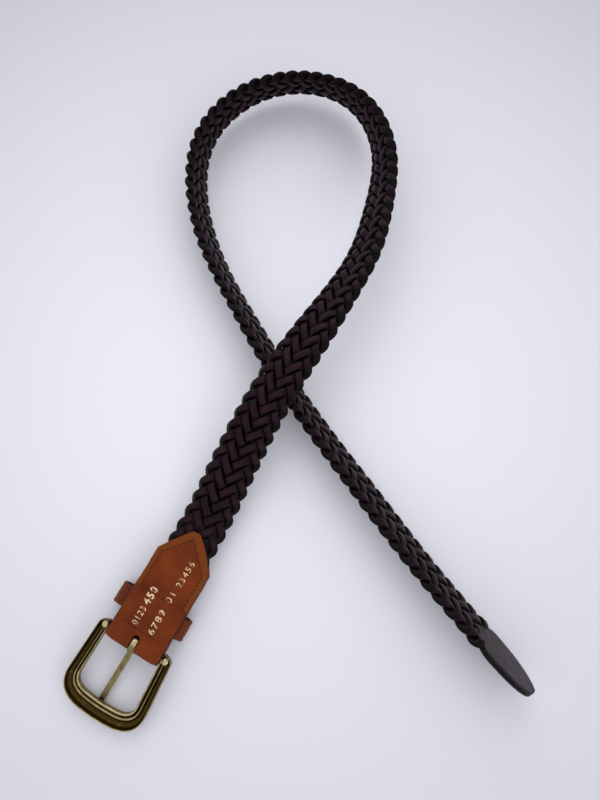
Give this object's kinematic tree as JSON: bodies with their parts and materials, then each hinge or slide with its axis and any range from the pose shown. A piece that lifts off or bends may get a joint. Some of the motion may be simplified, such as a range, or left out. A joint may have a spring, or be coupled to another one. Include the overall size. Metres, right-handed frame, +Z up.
{
  "type": "braided leather belt",
  "caption": "Flat braided leather belt with a pin buckle, a leather buckle tab, a keeper loop and a plain leather tail tip, laid in an open crossed loop.",
  "frame": {"origin": "middle of the keeper loop's flat underside, on the surface that the belt lies on", "axes": "+Z up out of the surface, +Y along the buckle tab away from the buckle, +X along the buckle's bar"},
  "size_m": [0.3273, 0.4027, 0.0446],
  "materials": {
    "braid_leather": "near-black brown waxed leather laces, soft sheen",
    "tip_leather": "dark brown smooth leather, semi-matt",
    "tan_leather": "cognac tan leather, fine grain, soft sheen",
    "antique_brass": "antiqued brass, dark in the hollows, rubbed bright at the lips"
  },
  "bodies": {
    "belt": {"braided_strap": "braid_leather", "tip_back": "tip_leather", "tip_front": "tip_leather", "buckle_tab": "tan_leather", "keeper_loop": "tan_leather"},
    "frame": {"buckle_frame": "antique_brass"},
    "prong": {"buckle_prong": "antique_brass"}
  },
  "joints": [
    {"name": "frame_hinge", "type": "hinge", "parent": "belt", "child": "frame", "pos_m": [0, -0.0184, 0.01], "axis": [-1, 0, 0], "range_deg": [-30, 90]},
    {"name": "prong_hinge", "type": "hinge", "parent": "frame", "child": "prong", "pos_m": [0, -0.0184, 0.01], "axis": [1, 0, 0], "range_deg": [0, 90]}
  ]
}
